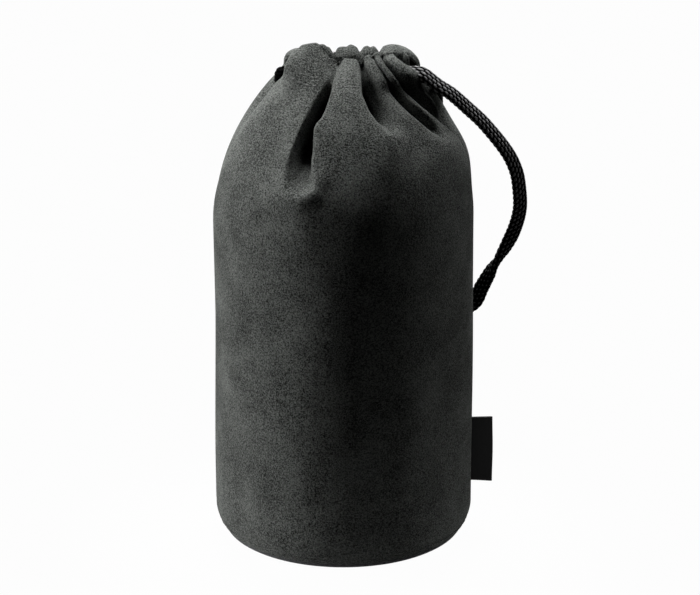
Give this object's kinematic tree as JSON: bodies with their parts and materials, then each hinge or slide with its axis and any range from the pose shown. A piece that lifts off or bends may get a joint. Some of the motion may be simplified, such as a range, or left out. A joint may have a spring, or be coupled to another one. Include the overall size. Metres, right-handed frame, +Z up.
{
  "type": "drawstring lens pouch",
  "caption": "Upright padded cylinder of dark suede-like cloth with a round sewn-in base, a gathered shoulder, a braided drawstring in two hems that closes the mouth, and a folded side label.",
  "frame": {"origin": "centre of the base's underside, where the pouch rests", "axes": "+Z up along the pouch, +X to the side with the label and the string's ends, +Y to the back"},
  "size_m": [0.1267, 0.1151, 0.2059],
  "materials": {
    "suede": "charcoal suede-like microfibre with a short mottled nap",
    "foam": "soft grey foam, inside the walls",
    "lining": "dark smooth knit",
    "braid": "black flat tubular braid, slightly glossy yarn",
    "satin": "black woven satin, left bare"
  },
  "bodies": {
    "pouch": {"front_panel": "suede", "back_panel": "suede", "base_panel": "suede", "base_foam": "foam", "base_lining": "lining", "front_padding": "foam", "back_padding": "foam", "front_lining": "lining", "back_lining": "lining", "string_crossing": "braid"},
    "front_rim": {"front_hem": "suede", "front_string_run": "braid"},
    "back_rim": {"back_hem": "suede", "back_string_run": "braid"},
    "string_ends": {"front_string_lead": "braid", "back_string_lead": "braid"},
    "string_loop": {"front_string_strand": "braid", "back_string_strand": "braid", "string_knot": "braid", "front_string_tail": "braid", "back_string_tail": "braid"},
    "label_tab": {"label": "satin"}
  },
  "joints": [
    {"name": "front_rim_open", "type": "hinge", "parent": "pouch", "child": "front_rim", "pos_m": [0, -0.0162, 0.1955], "axis": [1, 0, 0], "range_deg": [0, 25]},
    {"name": "back_rim_open", "type": "hinge", "parent": "pouch", "child": "back_rim", "pos_m": [0, 0.0162, 0.1955], "axis": [-1, 0, 0], "range_deg": [0, 25]},
    {"name": "string_pull", "type": "slide", "parent": "pouch", "child": "string_ends", "axis": [1, 0, 0], "range_m": [0, 0.012]},
    {"name": "loop_swing", "type": "hinge", "parent": "string_ends", "child": "string_loop", "pos_m": [0.0384, -0.0044, 0.1932], "axis": [0.2299, -0.9403, 0.2508], "range_deg": [0, 90]},
    {"name": "label_flex", "type": "hinge", "parent": "pouch", "child": "label_tab", "pos_m": [0.0537, 0, 0.034], "axis": [0, 0, 1], "range_deg": [-70, 70], "stiffness_Nm_per_rad": 0.002}
  ]
}
